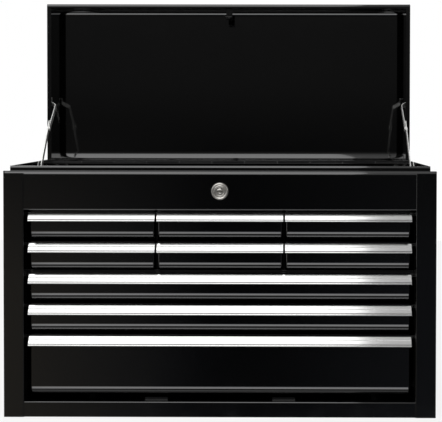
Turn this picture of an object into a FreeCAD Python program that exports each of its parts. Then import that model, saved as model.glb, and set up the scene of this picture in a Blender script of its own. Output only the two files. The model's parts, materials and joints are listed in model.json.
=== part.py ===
import FreeCAD, Part
import math
import os
import re
import Sketcher

Vector = FreeCAD.Vector
Rotation = FreeCAD.Rotation

# Driving sizes in millimetres. The chest stands on the XY plane, its front faces -Y,
# and the origin is the middle of its base.
sizes = {
    # Sheet steel case
    "chest_width": 660,
    "chest_depth": 286,
    "sheet": 1.2,
    "running_clearance": 0.3,
    "edge_gap": 0.5,
    "cut_overrun": 4,
    "edge_match": 0.1,
    # Front frame: two stiles, the header over the drawers and the rail under them
    "stile_width": 31,
    "stile_return": 14,
    "stile_drop": 3.5,
    "rail_height": 23.5,
    "rail_depth": 12,
    "stop_tab_width": 35,
    "stop_tab_height": 4,
    "header_height": 59.6,
    "header_bend": 6,
    "header_return": 14,
    "shelf_inset": 8.5,
    "lip_height": 7.5,
    "back_hem": 8,
    # Rows of drawer fronts, from the rail up
    "base_gap": 7.1,
    "deep_front_height": 94.8,
    "shallow_front_height": 45.2,
    "row_gap": 2.4,
    "header_gap": 1.2,
    "front_setback": 8,
    "front_depth": 12,
    "front_bend": 11,
    # Full-width finger pulls along the top edge of each front
    "pull_end_gap": 6.5,
    "pull_spacing": 2.9,
    "pull_overhang": 1.5,
    "pull_drop": 1.5,
    "pull_height": 15,
    "pull_reach": 10,
    "pull_wall": 1.4,
    "pull_nose": 2.8,
    "pull_flange": 11,
    # Drawer boxes, which hang by their hems in channels
    "drawer_sheet": 1,
    "hem_width": 9,
    "hem_gap": 1.5,
    "box_drop": 5.5,
    "rear_gap": 6,
    "channel_setback": 2,
    "stiffener_depth": 5,
    "mat_thickness": 1.5,
    "mat_gap": 1,
    "tray_mat_thickness": 2,
    # Key lock in the header, its cam and the hook on the lid
    "lock_drop": 30.7,
    "bezel_radius": 13.25,
    "bezel_face_radius": 11.8,
    "bezel_depth": 3.2,
    "lock_radius": 9.5,
    "lock_length": 20,
    "plug_radius": 7.5,
    "plug_stand": 0.6,
    "fit_clearance": 0.05,
    "key_slot_width": 8,
    "key_slot_height": 1.8,
    "key_slot_depth": 9,
    "nut_radius": 13,
    "nut_thickness": 4,
    "cam_thickness": 2,
    "cam_radius": 8,
    "cam_width": 8,
    "cam_reach": 12,
    "cam_pin_radius": 2.5,
    "cam_pin_length": 8,
    "hook_sheet": 1.6,
    "hook_gap": 2,
    "hook_left": 4.5,
    "hook_right": 7,
    "hook_jaw": 4,
    "hook_throat_gap": 0.8,
    "hook_foot": 22,
    "hook_lip_gap": 2,
    # Lid, with an inward rim at the front and sides of its mouth
    "lid_height": 62,
    "lid_bend": 16,
    "lid_overhang": 1,
    "lid_rim": 7.5,
    "rim_bend": 4.5,
    "rim_clearance": 1,
    # Piano hinge on the outside of the back
    "hinge_inset": 2,
    "hinge_offset": 2.3,
    "hinge_rise": 1.5,
    "knuckle_radius": 2,
    "pin_radius": 1.2,
    "leaf_thickness": 1,
    "leaf_height": 22,
    "rivet_radius": 2,
    "rivet_rise": 0.8,
    # Folding stays. The top pivot is measured on the closed lid.
    "stay_width": 9,
    "stay_strip": 1.4,
    "stay_side_gap": 1.9,
    "stay_foot_inset": 107.3,
    "stay_foot_drop": 13,
    "stay_top_inset": 115,
    "stay_top_rise": 17,
    "stay_slack": 1,
    "stay_tail": 14,
    "upper_link_length": 85,
    "joggle_start": 9,
    "joggle_length": 12,
    "stud_radius": 4.5,
    "shank_radius": 2.5,
    "head_radius": 4,
    "head_rise": 1,
    # Drop handles on the sides
    "handle_height": 240,
    "handle_stand": 9,
    "handle_rod_radius": 3.2,
    "handle_drop": 38,
    "handle_bend": 9,
    "lug_offset": 38,
    "lug_width": 12,
    "lug_radius": 6,
    "lug_plate_height": 30,
    "lug_plate_width": 20,
    "lug_plate_thickness": 2,
}

knuckle_count = 11
rivet_count = 9

# Places that follow from the sizes, as formulas
places = {
    "half_width": "chest_width / 2",
    "half_depth": "chest_depth / 2",
    "inner_half_width": "half_width - sheet",
    "inner_back": "half_depth - sheet",
    "header_face": "-half_depth + sheet",
    "header_inside": "header_face + sheet",
    "opening_half": "half_width - stile_width",
    "deep_bottom": "rail_height + base_gap",
    "deep_top": "deep_bottom + deep_front_height",
    "fourth_bottom": "deep_top + row_gap",
    "fourth_top": "fourth_bottom + shallow_front_height",
    "third_bottom": "fourth_top + row_gap",
    "third_top": "third_bottom + shallow_front_height",
    "second_bottom": "third_top + row_gap",
    "second_top": "second_bottom + shallow_front_height",
    "upper_bottom": "second_top + row_gap",
    "upper_top": "upper_bottom + shallow_front_height",
    "header_bottom": "upper_top + header_gap",
    "shelf_height": "header_bottom + header_height",
    "shelf_underside": "shelf_height - sheet",
    "lip_top": "shelf_height + lip_height",
    "lip_front": "-half_depth + shelf_inset",
    "lip_back": "lip_front + sheet",
    "lip_half_width": "half_width - shelf_inset",
    "lip_end": "inner_back - rim_clearance",
    "tray_floor": "header_bottom + sheet",
    "divider_floor": "third_top + (row_gap + sheet) / 2",
    "front_face": "-half_depth + front_setback",
    "front_back": "front_face + front_depth",
    "nose_face": "front_face - pull_reach",
    "channel_front": "front_back + channel_setback",
    "runner_front": "header_face + header_return",
    "box_front": "front_face + sheet",
    "box_back": "inner_back - rear_gap",
    "pull_half": "opening_half - pull_end_gap",
    "column_pitch": "(2 * pull_half + pull_spacing) / 3",
    "pull_slope": "(pull_height - pull_nose) / (pull_reach - pull_wall)",
    "pull_skin": "pull_wall * sqrt(1 + pull_slope * pull_slope)",
    "divider_line": "column_pitch / 2",
    "lock_height": "shelf_height - lock_drop",
    "lock_back": "header_face + lock_length",
    "cam_front": "lock_back + running_clearance",
    "cam_back": "cam_front + cam_thickness",
    "hook_front": "cam_back + hook_gap",
    "hook_leg": "lip_top + hook_lip_gap",
    "locked_pin": "lock_height + cam_reach",
    "lid_bottom": "shelf_height + edge_gap",
    "lid_top": "lid_bottom + lid_height",
    "lid_front": "-half_depth",
    "lid_half_width": "half_width + lid_overhang",
    "lid_inner_half": "lid_half_width - sheet",
    "lid_floor": "lid_bottom + sheet",
    "hinge_y": "half_depth + hinge_offset",
    "hinge_z": "shelf_height + hinge_rise",
    "hinge_length": "chest_width - 2 * hinge_inset",
    "leaf_back": "half_depth + leaf_thickness",
    "leaf_offset": "knuckle_radius + running_clearance",
    "lower_link_face": "lip_half_width - sheet - stay_side_gap",
    "lower_link_back": "lower_link_face - stay_strip",
    "upper_link_face": "lower_link_back - running_clearance",
    "upper_link_back": "upper_link_face - stay_strip",
    "link_tab_face": "lid_inner_half - running_clearance",
    "link_tab_back": "link_tab_face - stay_strip",
    "joggle_angle": "atan((link_tab_face - upper_link_face) / joggle_length)",
    "joggle_lead": "stay_strip * tan(joggle_angle / 2)",
    "stay_foot_y": "hinge_y - stay_foot_inset",
    "stay_foot_z": "hinge_z - stay_foot_drop",
    "stay_top_y": "hinge_y + stay_top_rise",
    "stay_top_z": "hinge_z + stay_top_inset",
    "stay_run": "stay_top_y - stay_foot_y",
    "stay_climb": "stay_top_z - stay_foot_z",
    "stay_span": "sqrt(stay_run * stay_run + stay_climb * stay_climb)",
    "lower_link_length": "stay_span + stay_slack - upper_link_length",
    "handle_x": "-half_width - handle_stand",
    "leg_y": "lug_offset + lug_width + edge_gap + handle_rod_radius",
    "grip_z": "handle_height - handle_drop",
}

doc = FreeCAD.newDocument("tool_chest")
parts = []


def bound(text):
    """The formula with each name followed back to its sheet."""
    def owner(match):
        word = match.group(0)
        if word in sizes:
            return "Sizes." + word
        if word in places:
            return "Places." + word
        return word
    return re.sub(r"[a-z_]+", owner, text)


def fill_sheet(name, cells, as_text):
    sheet = doc.addObject("Spreadsheet::Sheet", name)
    for row, (alias, content) in enumerate(cells.items(), start=1):
        sheet.set(f"A{row}", alias)
        sheet.set(f"B{row}", as_text(content))
        sheet.setAlias(f"B{row}", alias)
    return sheet


def node(item, label):
    """Marks a finished piece and gives it the name of its file."""
    item.Label = label
    parts.append(item)
    return item


def bind_base(item, x, y, z):
    item.setExpression("Placement.Base.x", bound(x))
    item.setExpression("Placement.Base.y", bound(y))
    item.setExpression("Placement.Base.z", bound(z))


def block(name, x, y, z):
    """A box between two limits along each axis."""
    item = doc.addObject("Part::Box", name)
    for size_name, (low, high) in zip(("Length", "Width", "Height"), (x, y, z)):
        item.setExpression(size_name, bound(f"({high}) - ({low})"))
    bind_base(item, x[0], y[0], z[0])
    return item


turns = {
    "x": Rotation(Vector(0, 1, 0), 90),
    "y": Rotation(Vector(1, 0, 0), -90),
    "-y": Rotation(Vector(1, 0, 0), 90),
    "z": Rotation(),
}


def rod(name, direction, radius, length, start):
    item = doc.addObject("Part::Cylinder", name)
    item.Placement = FreeCAD.Placement(Vector(), turns[direction])
    item.setExpression("Radius", bound(radius))
    item.setExpression("Height", bound(length))
    bind_base(item, *start)
    return item


def fuse(name, pieces):
    item = doc.addObject("Part::MultiFuse", name)
    item.Shapes = pieces
    return item


def group(name, pieces):
    item = doc.addObject("Part::Compound", name)
    item.Links = pieces
    return item


def cut(name, base, tool):
    item = doc.addObject("Part::Cut", name)
    item.Base = base
    item.Tool = tool
    return item


def mirrored(item, label):
    """The right-hand twin of a left-hand piece."""
    twin = doc.addObject("Part::Mirroring", label)
    twin.Source = item
    twin.Normal = Vector(1, 0, 0)
    return node(twin, label)


def swing_open(item):
    """Pieces of the lid are drawn shut, then turned a quarter turn back about the hinge."""
    item.Placement = FreeCAD.Placement(Vector(), Rotation(Vector(1, 0, 0), -90))
    bind_base(item, "0", "hinge_y - hinge_z", "hinge_y + hinge_z")
    return item


def outline(body, name, plane, points):
    """A closed sketch of straight lines whose corners are given as formulas."""
    sketch = body.newObject("Sketcher::SketchObject", name)
    origin = [item for item in body.Origin.OriginFeatures if item.Role == plane][0]
    sketch.AttachmentSupport = [(origin, "")]
    sketch.MapMode = "FlatFace"
    count = len(points)
    rough = []
    for index in range(count):
        angle = 2 * math.pi * index / count
        rough.append(Vector(math.cos(angle), math.sin(angle), 0))
    for index in range(count):
        sketch.addGeometry(Part.LineSegment(rough[index], rough[(index + 1) % count]), False)
    for index in range(count):
        sketch.addConstraint(Sketcher.Constraint("Coincident", index, 2, (index + 1) % count, 1))
    for index, point in enumerate(points):
        for axis, kind in enumerate(("DistanceX", "DistanceY")):
            start = rough[index][axis]
            number = sketch.addConstraint(Sketcher.Constraint(kind, -1, 1, index, 1, start))
            sketch.setExpression(f"Constraints[{number}]", bound(point[axis]))
    return sketch


def extrusion(name, plane, points, length):
    """A body whose outline is padded evenly to both sides of its plane."""
    body = doc.addObject("PartDesign::Body", name)
    sketch = outline(body, name + "_outline", plane, points)
    pad = body.newObject("PartDesign::Pad", name + "_pad")
    pad.Profile = sketch
    pad.SideType = "Symmetric"
    pad.setExpression("Length", bound(length))
    doc.recompute()
    return body


def round_edges(body, name, radius, centres):
    """Rounds the edges that run along X through the given places in Y and Z."""
    base = body.Tip
    near = number("edge_match")
    wanted = [(number(y), number(z)) for y, z in centres]
    edges = []
    for index, edge in enumerate(base.Shape.Edges, start=1):
        middle = edge.BoundBox.Center
        runs_along = edge.BoundBox.XLength > edge.Length - near
        if runs_along and any(math.hypot(middle.y - y, middle.z - z) < near for y, z in wanted):
            edges.append(f"Edge{index}")
    fillet = body.newObject("PartDesign::Fillet", name)
    fillet.Base = (base, edges)
    fillet.setExpression("Radius", bound(radius))
    doc.recompute()


def number(text):
    """The present value of a formula of named sizes and places."""
    return float(places_sheet.evalExpression(bound(text)))


# Case

def side_panel():
    """Side wall with the front stile, the stile's return, the shelf for the lid and its lip."""
    wall = block("side_wall", ("-half_width", "-inner_half_width"), ("-half_depth", "half_depth"),
                 ("0", "shelf_height"))
    stile = block("side_stile", ("-half_width", "-opening_half"), ("-half_depth", "header_face"),
                  ("0", "shelf_height - stile_drop"))
    back_of_stile = block("side_return", ("-opening_half - sheet", "-opening_half"),
                          ("-half_depth", "-half_depth + stile_return"),
                          ("rail_height", "header_bottom"))
    shelf = block("side_shelf", ("-half_width", "-lip_half_width"), ("lip_back", "inner_back"),
                  ("shelf_height - sheet", "shelf_height"))
    lip = block("side_lip", ("-lip_half_width", "-lip_half_width + sheet"),
                ("lip_back", "lip_end"), ("shelf_height - sheet", "lip_top"))
    return node(fuse("left_side", [wall, stile, back_of_stile, shelf, lip]), "left_side_panel")


def back_panel():
    plate = block("back_plate", ("-inner_half_width", "inner_half_width"),
                  ("inner_back", "half_depth"), ("0", "shelf_height"))
    hem = block("back_top_hem", ("-lip_half_width + sheet", "lip_half_width - sheet"),
                ("inner_back - back_hem", "inner_back"), ("shelf_height - sheet", "shelf_height"))
    return node(fuse("back", [plate, hem]), "back_panel")


def bottom_panel():
    """Floor of the case with the bottom rail and two low stop tabs."""
    across = ("-inner_half_width", "inner_half_width")
    floor = block("bottom_floor", across, ("header_face", "inner_back"), ("0", "sheet"))
    rail = block("bottom_rail", across, ("header_face", "header_inside"), ("0", "rail_height"))
    top = block("bottom_rail_top", across, ("header_face", "header_face + rail_depth"),
                ("rail_height - sheet", "rail_height"))
    pieces = [floor, rail, top]
    for side in ("-", ""):
        centre = f"{side}divider_line"
        pieces.append(block("stop_tab", (f"{centre} - stop_tab_width / 2", f"{centre} + stop_tab_width / 2"),
                            ("header_face + rail_depth - sheet", "header_face + rail_depth"),
                            ("rail_height - sheet", "rail_height + stop_tab_height")))
    return node(fuse("bottom", pieces), "bottom_panel")


def header_panel():
    """Front panel over the drawers: a rounded top bend, a lip for the lid and a hole for the lock."""
    points = [
        ("header_face", "header_bottom"),
        ("header_face", "shelf_height"),
        ("lip_back", "shelf_height"),
        ("lip_back", "shelf_height - sheet"),
        ("header_inside", "shelf_height - sheet"),
        ("header_inside", "header_bottom"),
    ]
    bend = extrusion("header_bend_strip", "YZ_Plane", points, "2 * inner_half_width")
    round_edges(bend, "header_outer_bend", "header_bend", [("header_face", "shelf_height")])
    round_edges(bend, "header_inner_bend", "header_bend - sheet", [("header_inside", "shelf_underside")])
    lip = block("header_lip", ("-lip_half_width", "lip_half_width"), ("lip_front", "lip_back"),
                ("shelf_height - sheet", "lip_top"))
    back = block("header_bottom_return", ("-inner_half_width", "inner_half_width"),
                 ("header_face", "runner_front"), ("header_bottom", "header_bottom + sheet"))
    whole = fuse("header_sheet", [bend, lip, back])
    hole = rod("header_lock_hole", "y", "lock_radius + fit_clearance", "sheet + 2 * cut_overrun",
               ("0", "header_face - cut_overrun", "lock_height"))
    return node(cut("header", whole, hole), "header_panel")


def tray_floor_panel():
    plate = block("tray_plate", ("-inner_half_width", "inner_half_width"),
                  ("header_inside", "inner_back"), ("tray_floor", "tray_floor + sheet"))
    node(plate, "tray_floor")
    mat = block("tray_mat", ("-inner_half_width + mat_gap", "inner_half_width - mat_gap"),
                ("header_inside + mat_gap", "inner_back - mat_gap"),
                ("tray_floor + sheet", "tray_floor + sheet + tray_mat_thickness"))
    return node(mat, "tray_liner")


def channel(name, row, across):
    """Two ledges that hold a drawer's hem between them."""
    hem_top = f"{row}_top - box_drop"
    hem_bottom = f"{hem_top} - drawer_sheet"
    deep = ("channel_front", "inner_back")
    lower = block(name + "_lower", across, deep,
                  (f"{hem_bottom} - running_clearance - sheet", f"{hem_bottom} - running_clearance"))
    upper = block(name + "_upper", across, deep,
                  (f"{hem_top} + running_clearance", f"{hem_top} + running_clearance + sheet"))
    return [lower, upper]


def runner_frame():
    """Upright plate behind the stile with a channel for each row of drawers."""
    pieces = [block("runner_plate", ("-opening_half - sheet", "-opening_half"),
                    ("runner_front", "inner_back"), ("sheet", "tray_floor"))]
    for row in ("deep", "fourth", "third", "second", "upper"):
        pieces += channel("runner_" + row, row, ("-opening_half", "-opening_half + hem_width"))
    return node(fuse("runner", pieces), "left_runner_frame")


def divider(side_name, sign):
    """Upright plate between two drawers of a row, with channels on both faces."""
    low = f"{sign}divider_line - sheet / 2"
    high = f"{sign}divider_line + sheet / 2"
    pieces = [block(side_name + "_divider_plate", (low, high), ("channel_front", "inner_back"),
                    ("divider_floor", "tray_floor"))]
    for row in ("second", "upper"):
        pieces += channel(f"{side_name}_{row}_low", row, (f"{low} - hem_width", low))
        pieces += channel(f"{side_name}_{row}_high", row, (high, f"{high} + hem_width"))
    return node(fuse(side_name + "_divider_sheet", pieces), side_name + "_divider")


def divider_shelf():
    """Plate under the two upper rows that carries the dividers."""
    across = ("-opening_half", "opening_half")
    plate = block("shelf_plate", across, ("channel_front", "inner_back"),
                  ("divider_floor - sheet", "divider_floor"))
    stiffener = block("shelf_stiffener", across, ("channel_front", "channel_front + sheet"),
                      ("divider_floor - stiffener_depth", "divider_floor"))
    return node(fuse("shelf", [plate, stiffener]), "divider_shelf")


# Drawers

def drawer(label, row, cell, pull_sides):
    """Folded front with its box behind it, hung by two hems, then the pull and the mat."""
    bottom = f"{row}_bottom"
    top = f"{row}_top"
    left = f"{pull_sides[0]} + pull_overhang"
    right = f"{pull_sides[1]} - pull_overhang"
    box_left = f"{cell[0]} + hem_gap + hem_width"
    box_right = f"{cell[1]} - hem_gap - hem_width"
    box_top = f"{top} - box_drop"
    box_floor = f"{bottom} + front_bend"
    front = cut(label + "_front",
                front_block(label + "_front_block", (left, right), ("front_face", "front_back"),
                            (bottom, top), "front_bend"),
                front_block(label + "_front_hollow", (f"{left} + sheet", f"{right} - sheet"),
                            ("box_front", "front_back + cut_overrun"),
                            (f"{bottom} + sheet", f"{top} - sheet"), "front_bend - sheet"))
    box = cut(label + "_box",
              block(label + "_box_block", (box_left, box_right), ("box_front", "box_back"),
                    (box_floor, box_top)),
              block(label + "_box_hollow", (f"{box_left} + drawer_sheet", f"{box_right} - drawer_sheet"),
                    ("box_front + drawer_sheet", "box_back - drawer_sheet"),
                    (f"{box_floor} + drawer_sheet", f"{box_top} + cut_overrun")))
    hem_height = (f"{box_top} - drawer_sheet", box_top)
    hem_run = ("channel_front + edge_gap", "box_back")
    hems = [
        block(label + "_left_hem", (f"{box_left} - hem_width", f"{box_left} + drawer_sheet"), hem_run, hem_height),
        block(label + "_right_hem", (f"{box_right} - drawer_sheet", f"{box_right} + hem_width"), hem_run, hem_height),
    ]
    node(fuse(label + "_sheet", [front, box] + hems), label + "_drawer")
    pull(label, f"{top} - pull_drop", pull_sides)
    inset = "drawer_sheet + mat_gap"
    mat = block(label + "_mat", (f"{box_left} + {inset}", f"{box_right} - drawer_sheet - mat_gap"),
                (f"box_front + {inset}", "box_back - drawer_sheet - mat_gap"),
                (f"{box_floor} + drawer_sheet", f"{box_floor} + drawer_sheet + mat_thickness"))
    node(mat, label + "_liner")


def front_block(name, across, deep, upright, bend):
    """Solid block of a drawer front, rounded along its lower front edge."""
    points = [(deep[0], upright[0]), (deep[1], upright[0]), (deep[1], upright[1]), (deep[0], upright[1])]
    body = extrusion(name, "YZ_Plane", points, f"({across[1]}) - ({across[0]})")
    round_edges(body, name + "_bend", bend, [(deep[0], upright[0])])
    body.setExpression("Placement.Base.x", bound(f"(({across[0]}) + ({across[1]})) / 2"))
    return body


def pull(label, top, pull_sides):
    """Sloping strip along the top of a front, with a turned-down nose and a fixing flange."""
    points = [
        ("front_face", top),
        ("front_face - pull_wall", top),
        ("nose_face", f"{top} - pull_height + pull_nose"),
        ("nose_face", f"{top} - pull_height"),
        ("nose_face + pull_wall", f"{top} - pull_height"),
        ("nose_face + pull_wall", f"{top} - pull_height + pull_nose + pull_slope * pull_wall - pull_skin"),
        ("front_face - pull_wall", f"{top} - pull_skin"),
        ("front_face - pull_wall", f"{top} - pull_flange"),
        ("front_face", f"{top} - pull_flange"),
    ]
    low, high = pull_sides
    body = extrusion(label + "_pull_strip", "YZ_Plane", points, f"({high}) - ({low})")
    body.setExpression("Placement.Base.x", bound(f"(({low}) + ({high})) / 2"))
    node(body, label + "_pull")


def all_drawers():
    whole_cell = ("-opening_half", "opening_half")
    whole_pull = ("-pull_half", "pull_half")
    cells = {
        "left": ("-opening_half", "-divider_line - sheet / 2"),
        "middle": ("-divider_line + sheet / 2", "divider_line - sheet / 2"),
        "right": ("divider_line + sheet / 2", "opening_half"),
    }
    for row in ("upper", "second"):
        for column, (side, cell) in enumerate(cells.items()):
            start = f"-pull_half + {column} * column_pitch"
            drawer(f"{row}_{side}", row, cell, (start, f"{start} + column_pitch - pull_spacing"))
    for row in ("third", "fourth", "deep"):
        drawer(row, row, whole_cell, whole_pull)


# Lock

def lock():
    """Round key lock: bezel and barrel in the header, its nut, the plug and the cam."""
    bezel = doc.addObject("Part::Cone", "lock_bezel")
    bezel.Placement = FreeCAD.Placement(Vector(), turns["-y"])
    bezel.setExpression("Radius1", bound("bezel_radius"))
    bezel.setExpression("Radius2", bound("bezel_face_radius"))
    bezel.setExpression("Height", bound("bezel_depth"))
    bind_base(bezel, "0", "header_face", "lock_height")
    barrel = rod("lock_barrel", "y", "lock_radius", "lock_length", ("0", "header_face", "lock_height"))
    bore = rod("lock_bore", "y", "plug_radius + fit_clearance", "bezel_depth + lock_length + 2 * cut_overrun",
               ("0", "header_face - bezel_depth - cut_overrun", "lock_height"))
    node(cut("lock_case", fuse("lock_case_solid", [bezel, barrel]), bore), "lock_cylinder")
    hexagon = doc.addObject("Part::Prism", "nut_hexagon")
    hexagon.Polygon = 6
    hexagon.Placement = FreeCAD.Placement(Vector(), turns["y"])
    hexagon.setExpression("Circumradius", bound("nut_radius"))
    hexagon.setExpression("Height", bound("nut_thickness"))
    bind_base(hexagon, "0", "header_inside", "lock_height")
    eye = rod("nut_eye", "y", "lock_radius + fit_clearance", "nut_thickness + 2 * cut_overrun",
              ("0", "header_inside - cut_overrun", "lock_height"))
    node(cut("nut", hexagon, eye), "lock_nut")
    core = rod("plug_core", "y", "plug_radius", "plug_stand + bezel_depth + lock_length + running_clearance",
               ("0", "header_face - bezel_depth - plug_stand", "lock_height"))
    slot = block("plug_key_slot", ("-key_slot_width / 2", "key_slot_width / 2"),
                 ("header_face - bezel_depth - plug_stand - cut_overrun",
                  "header_face - bezel_depth - plug_stand + key_slot_depth"),
                 ("lock_height - key_slot_height / 2", "lock_height + key_slot_height / 2"))
    node(cut("plug", core, slot), "lock_plug")
    hub = rod("cam_hub", "y", "cam_radius", "cam_thickness", ("0", "cam_front", "lock_height"))
    arm = block("cam_arm", ("-cam_reach - cam_width / 2", "0"), ("cam_front", "cam_back"),
                ("lock_height - cam_width / 2", "lock_height + cam_width / 2"))
    pin = rod("cam_pin", "y", "cam_pin_radius", "cam_thickness + cam_pin_length",
              ("-cam_reach", "cam_front", "lock_height"))
    node(fuse("cam", [hub, arm, pin]), "lock_cam")


# Lid

def lid_hull(name, inset, length):
    """Solid block of the lid, or of its hollow, with rounded edges along its front and rear."""
    low, high = f"lid_bottom + {inset}", f"lid_top - {inset}"
    front, rear = f"lid_front + {inset}", f"half_depth - {inset}"
    hull = extrusion(name, "YZ_Plane", [(front, low), (rear, low), (rear, high), (front, high)], length)
    round_edges(hull, name + "_bends", f"lid_bend - {inset}", [(front, high), (rear, high)])
    round_edges(hull, name + "_rim_bend", f"rim_bend - {inset}", [(front, low)])
    return hull


def lid_shell():
    """Hollow lid whose front and side walls fold inward to a narrow rim."""
    outside = lid_hull("lid_outside", "0", "2 * lid_half_width")
    inside = lid_hull("lid_inside", "sheet", "2 * lid_inner_half")
    mouth = block("lid_mouth", ("-lid_half_width + lid_rim", "lid_half_width - lid_rim"),
                  ("lid_front + lid_rim", "inner_back"),
                  ("lid_bottom - cut_overrun", "lid_floor + cut_overrun"))
    return node(swing_open(cut("lid", outside, fuse("lid_hollow", [inside, mouth]))), "lid_shell")


def lid_striker():
    """Folded hook that hangs from the front of the closed lid and takes the cam's pin."""
    across = ("-hook_left", "hook_right")
    hook_back = "hook_front + hook_sheet"
    foot = block("striker_foot", across, ("header_face", "header_face + hook_sheet"),
                 ("hook_leg", "hook_leg + hook_foot"))
    leg = block("striker_leg", across, ("header_face", hook_back), ("hook_leg", "hook_leg + hook_sheet"))
    hook = block("striker_hook", across, ("hook_front", hook_back),
                 ("locked_pin - cam_pin_radius - hook_throat_gap - hook_jaw", "hook_leg + hook_sheet"))
    throat = block("striker_throat", ("-hook_left - cut_overrun", "cam_pin_radius + hook_throat_gap"),
                   ("hook_front - cut_overrun", f"{hook_back} + cut_overrun"),
                   ("locked_pin - cam_pin_radius - hook_throat_gap", "locked_pin + cam_pin_radius + hook_jaw"))
    return node(swing_open(cut("striker", fuse("striker_sheet", [foot, leg, hook]), throat)), "lid_striker")


# Piano hinge

def hinge_leaf(name, label, first, tab, plate):
    """A leaf with every other knuckle. Tab and plate are heights from the axis."""
    along = ("-hinge_length / 2", "hinge_length / 2")
    pieces = [block(name + "_plate", along, ("half_depth", "leaf_back"), plate)]
    for index in range(first, knuckle_count, 2):
        start = f"-hinge_length / 2 + hinge_length / {knuckle_count} * {index}"
        length = f"hinge_length / {knuckle_count} - running_clearance"
        pieces.append(block(f"{name}_tab", (start, f"{start} + {length}"), ("half_depth", "leaf_back"), tab))
        pieces.append(rod(f"{name}_knuckle", "x", "knuckle_radius", length, (start, "hinge_y", "hinge_z")))
    bore = rod(name + "_bore", "x", "pin_radius + fit_clearance", "hinge_length + 2 * cut_overrun",
               ("-hinge_length / 2 - cut_overrun", "hinge_y", "hinge_z"))
    return node(cut(name, fuse(name + "_solid", pieces), bore), label)


def rivet_row(name, label, height):
    rivets = []
    for index in range(rivet_count):
        x = f"-hinge_length / 2 + hinge_length / {rivet_count} * ({index} + 1 / 2)"
        rivets.append(rod(f"{name}_{index}", "y", "rivet_radius", "rivet_rise", (x, "leaf_back", height)))
    return node(group(name, rivets), label)


def hinge():
    hinge_leaf("case_leaf", "hinge_case_leaf", 0, ("hinge_z - leaf_offset", "hinge_z"),
               ("hinge_z - leaf_offset - leaf_height", "hinge_z - leaf_offset"))
    rivet_row("case_rivet_row", "hinge_case_rivets", "hinge_z - leaf_offset - leaf_height / 2")
    swing_open(hinge_leaf("lid_leaf", "hinge_lid_leaf", 1, ("hinge_z", "hinge_z + leaf_offset"),
                          ("hinge_z + leaf_offset", "hinge_z + leaf_offset + leaf_height")))
    swing_open(rivet_row("lid_rivet_row", "hinge_lid_rivets", "hinge_z + leaf_offset + leaf_height / 2"))
    node(rod("hinge_rod", "x", "pin_radius", "hinge_length", ("-hinge_length / 2", "hinge_y", "hinge_z")),
         "hinge_pin")


# Folding stays

def link_placement(start, end):
    """Turns a link that is drawn along X, with the chest's X as its Y, to run from start to end."""
    angle = math.atan2(end[1] - start[1], end[0] - start[0])
    matrix = FreeCAD.Matrix(0, 1, 0, 0,
                            math.cos(angle), 0, math.sin(angle), start[0],
                            math.sin(angle), 0, -math.cos(angle), start[1],
                            0, 0, 0, 1)
    return FreeCAD.Placement(matrix)


def elbow_point():
    """Where the two links meet with the lid open, on the front side of the straight line."""
    run, climb, span = number("stay_run"), number("stay_climb"), number("stay_span")
    lower, upper = number("lower_link_length"), number("upper_link_length")
    along = (lower ** 2 - upper ** 2 + span ** 2) / (2 * span)
    aside = math.sqrt(max(lower ** 2 - along ** 2, 0))
    y = number("stay_foot_y") + (along * run - aside * climb) / span
    z = number("stay_foot_z") + (along * climb + aside * run) / span
    return y, z


def lower_link():
    """Straight strip with a hole for its stud, a tail beyond the elbow and the elbow's outer head."""
    faces = ("-lower_link_face", "-lower_link_back")
    strip = block("lower_strip", ("0", "lower_link_length + stay_tail"), faces, ("-stay_width / 2", "stay_width / 2"))
    ends = []
    for name, x in (("foot", "0"), ("tail", "lower_link_length + stay_tail")):
        ends.append(rod(f"lower_{name}_end", "y", "stay_width / 2", "stay_strip", (x, "-lower_link_face", "0")))
    head = rod("lower_elbow_head", "y", "head_radius", "head_rise",
               ("lower_link_length", "-lower_link_face - head_rise", "0"))
    hole = rod("lower_hole", "y", "shank_radius + fit_clearance", "stay_strip + 2 * cut_overrun",
               ("0", "-lower_link_face - cut_overrun", "0"))
    return cut("lower_link", fuse("lower_link_solid", [strip, head] + ends), hole)


def upper_link():
    """Strip with a joggle from the lid's wall to the plane beside the lower link."""
    joggle_end = "joggle_start + joggle_length"
    points = [
        ("0", "-link_tab_face"),
        ("joggle_start", "-link_tab_face"),
        (joggle_end, "-upper_link_face"),
        ("upper_link_length", "-upper_link_face"),
        ("upper_link_length", "-upper_link_back"),
        (f"{joggle_end} - joggle_lead", "-upper_link_back"),
        ("joggle_start - joggle_lead", "-link_tab_back"),
        ("0", "-link_tab_back"),
    ]
    strip = extrusion("upper_strip", "XY_Plane", points, "stay_width")
    tab_end = rod("upper_tab_end", "y", "stay_width / 2", "stay_strip", ("0", "-link_tab_face", "0"))
    elbow_end = rod("upper_elbow_end", "y", "stay_width / 2", "stay_strip",
                    ("upper_link_length", "-upper_link_face", "0"))
    head = rod("upper_elbow_head", "y", "head_radius", "head_rise",
               ("upper_link_length", "-upper_link_back", "0"))
    hole = rod("upper_hole", "y", "shank_radius + fit_clearance", "stay_strip + 2 * cut_overrun",
               ("0", "-link_tab_face - cut_overrun", "0"))
    return cut("upper_link", fuse("upper_link_solid", [strip, tab_end, elbow_end, head]), hole)


def stud(name, y, z, shoulder, face, back):
    """Shouldered stud from the wall through a link, with its head on the inner side."""
    gap = "running_clearance"
    head = rod(name + "_head", "x", "head_radius", "head_rise", (f"-{back} + {gap}", y, z))
    shank = rod(name + "_shank", "x", "shank_radius", f"{face} - {back} + 2 * {gap}",
                (f"-{face} - {gap}", y, z))
    pieces = [shank, head]
    if shoulder:
        pieces.append(rod(name + "_shoulder", "x", "stud_radius", f"inner_half_width - {face} - {gap}",
                          ("-inner_half_width", y, z)))
    return fuse(name, pieces)


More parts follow.
